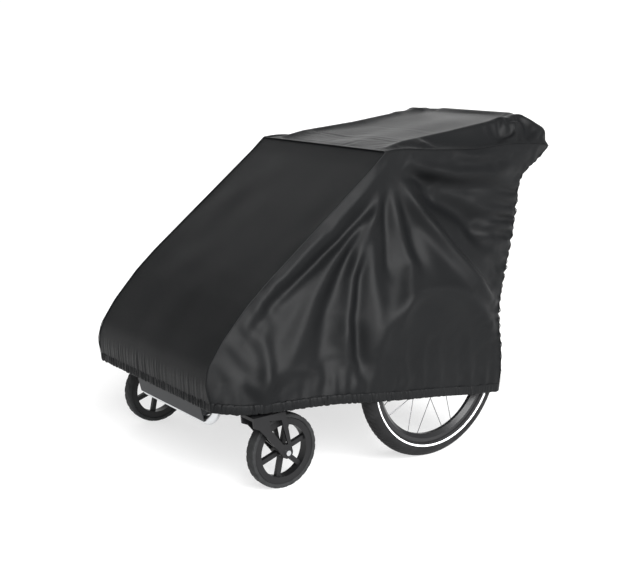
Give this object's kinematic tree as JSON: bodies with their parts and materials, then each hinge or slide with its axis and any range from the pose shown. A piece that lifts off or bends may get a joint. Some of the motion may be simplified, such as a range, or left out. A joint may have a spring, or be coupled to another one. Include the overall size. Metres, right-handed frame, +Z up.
{
  "type": "child bicycle trailer",
  "caption": "Two-seat child bicycle trailer in stroller mode under a fitted storage cover, with front swivel casters, push handlebar and parking brake.",
  "frame": {"origin": "on the floor, in the middle of the overall box", "axes": "+Z up, -Y the way the trailer travels as a stroller, +X the trailer's left side when seen from behind facing forward"},
  "size_m": [0.854, 1.228, 0.921],
  "materials": {
    "cover_cloth": "satin",
    "hem_cloth": "satin",
    "frame_alloy": "satin",
    "black_alloy": "satin",
    "black_plastic": "matte",
    "dark_panel": "matte",
    "tyre_rubber": "matte",
    "caster_rubber": "matte",
    "steel": "brushed",
    "bearing_steel": "polished",
    "grip_foam": "matte",
    "cabin_cloth": "matte",
    "cabin_mesh": "matte",
    "seat_cloth": "matte",
    "webbing": "matte",
    "button_plastic": "satin"
  },
  "bodies": {
    "trailer": {"axle_beam": "black_alloy", "axle_clamps": "black_plastic", "base_crossbars": "frame_alloy", "brake_carriers": "black_plastic", "bumper_tube": "frame_alloy", "cabin_back": "cabin_cloth", "cabin_roof": "cabin_cloth", "cabin_side_left": "cabin_mesh", "cabin_side_right": "cabin_mesh", "caster_housings": "black_plastic", "clamp_bolts": "steel", "foot_sockets": "black_plastic", "footwell": "dark_panel", "handle_lugs": "black_plastic", "harness_buckles": "black_plastic", "harness_straps": "webbing", "hitch_socket": "black_alloy", "pedal_hangers": "black_alloy", "rolled_screen": "cabin_cloth", "roof_crossbars": "frame_alloy", "seat_back": "seat_cloth", "seat_bars": "frame_alloy", "seat_base": "seat_cloth", "side_hoop_left": "frame_alloy", "side_hoop_right": "frame_alloy", "stub_axles": "steel"},
    "brake_pedal": {"brake_pedal": "dark_panel"},
    "brake_pin_left": {"brake_pin_left": "steel"},
    "brake_pin_right": {"brake_pin_right": "steel"},
    "rear_wheel_left": {"brake_ring_left": "black_plastic", "rear_hub_left": "black_alloy", "rear_rim_left": "black_alloy", "rear_spokes_left": "steel", "rear_tyre_left": "tyre_rubber", "wheel_bearings_left": "bearing_steel"},
    "rear_wheel_right": {"brake_ring_right": "black_plastic", "rear_hub_right": "black_alloy", "rear_rim_right": "black_alloy", "rear_spokes_right": "steel", "rear_tyre_right": "tyre_rubber", "wheel_bearings_right": "bearing_steel"},
    "caster_swivel_left": {"caster_bolt_left": "steel", "caster_fork_left": "black_plastic"},
    "caster_swivel_right": {"caster_bolt_right": "steel", "caster_fork_right": "black_plastic"},
    "caster_wheel_left": {"caster_tyre_left": "caster_rubber", "caster_wheel_left": "black_plastic"},
    "caster_wheel_right": {"caster_tyre_right": "caster_rubber", "caster_wheel_right": "black_plastic"},
    "cover": {"cover_back_panel": "cover_cloth", "cover_front_panel": "cover_cloth", "cover_hem": "hem_cloth", "cover_side_left": "cover_cloth", "cover_side_right": "cover_cloth", "cover_top_panel": "cover_cloth"},
    "handlebar": {"handlebar_grip": "grip_foam", "handlebar_tube": "frame_alloy"},
    "axle_button_left": {"release_button_left": "button_plastic"},
    "axle_button_right": {"release_button_right": "button_plastic"}
  },
  "joints": [
    {"name": "rear_wheel_left_spin", "type": "hinge", "parent": "trailer", "child": "rear_wheel_left", "pos_m": [0.385, 0.062, 0.25], "axis": [1, 0, 0], "continuous": true},
    {"name": "rear_wheel_right_spin", "type": "hinge", "parent": "trailer", "child": "rear_wheel_right", "pos_m": [-0.385, 0.062, 0.25], "axis": [1, 0, 0], "continuous": true},
    {"name": "caster_left_swivel", "type": "hinge", "parent": "trailer", "child": "caster_swivel_left", "pos_m": [0.333, -0.468, 0.25], "axis": [0, 0, 1], "continuous": true},
    {"name": "caster_left_spin", "type": "hinge", "parent": "caster_swivel_left", "child": "caster_wheel_left", "pos_m": [0.333, -0.411, 0.101], "axis": [1, 0, 0], "continuous": true},
    {"name": "caster_right_swivel", "type": "hinge", "parent": "trailer", "child": "caster_swivel_right", "pos_m": [-0.333, -0.468, 0.25], "axis": [0, 0, 1], "continuous": true},
    {"name": "caster_right_spin", "type": "hinge", "parent": "caster_swivel_right", "child": "caster_wheel_right", "pos_m": [-0.333, -0.411, 0.101], "axis": [1, 0, 0], "continuous": true},
    {"name": "handlebar_tilt", "type": "hinge", "parent": "trailer", "child": "handlebar", "pos_m": [0, 0.13, 0.846], "axis": [1, 0, 0], "range_deg": [-12, 0]},
    {"name": "brake_pedal_press", "type": "hinge", "parent": "trailer", "child": "brake_pedal", "pos_m": [0, 0.24, 0.192], "axis": [-1, 0, 0], "range_deg": [0, 25]},
    {"name": "brake_pin_left_slide", "type": "slide", "parent": "trailer", "child": "brake_pin_left", "axis": [1, 0, 0], "range_m": [0, 0.01]},
    {"name": "brake_pin_right_slide", "type": "slide", "parent": "trailer", "child": "brake_pin_right", "axis": [-1, 0, 0], "range_m": [0, 0.01]},
    {"name": "axle_button_left_press", "type": "slide", "parent": "trailer", "child": "axle_button_left", "axis": [-1, 0, 0], "range_m": [0, 0.003], "stiffness_N_per_m": 300},
    {"name": "axle_button_right_press", "type": "slide", "parent": "trailer", "child": "axle_button_right", "axis": [1, 0, 0], "range_m": [0, 0.003], "stiffness_N_per_m": 300},
    {"name": "cover_lift", "type": "slide", "parent": "trailer", "child": "cover", "axis": [0, 0, 1], "range_m": [0, 0.9], "deforming": ["cover_back_panel", "cover_hem"]}
  ],
  "couplings": [
    {"joint": "brake_pin_left_slide", "follows": "brake_pedal_press", "m_per_rad": 0.022918},
    {"joint": "brake_pin_right_slide", "follows": "brake_pedal_press", "m_per_rad": 0.022918}
  ]
}
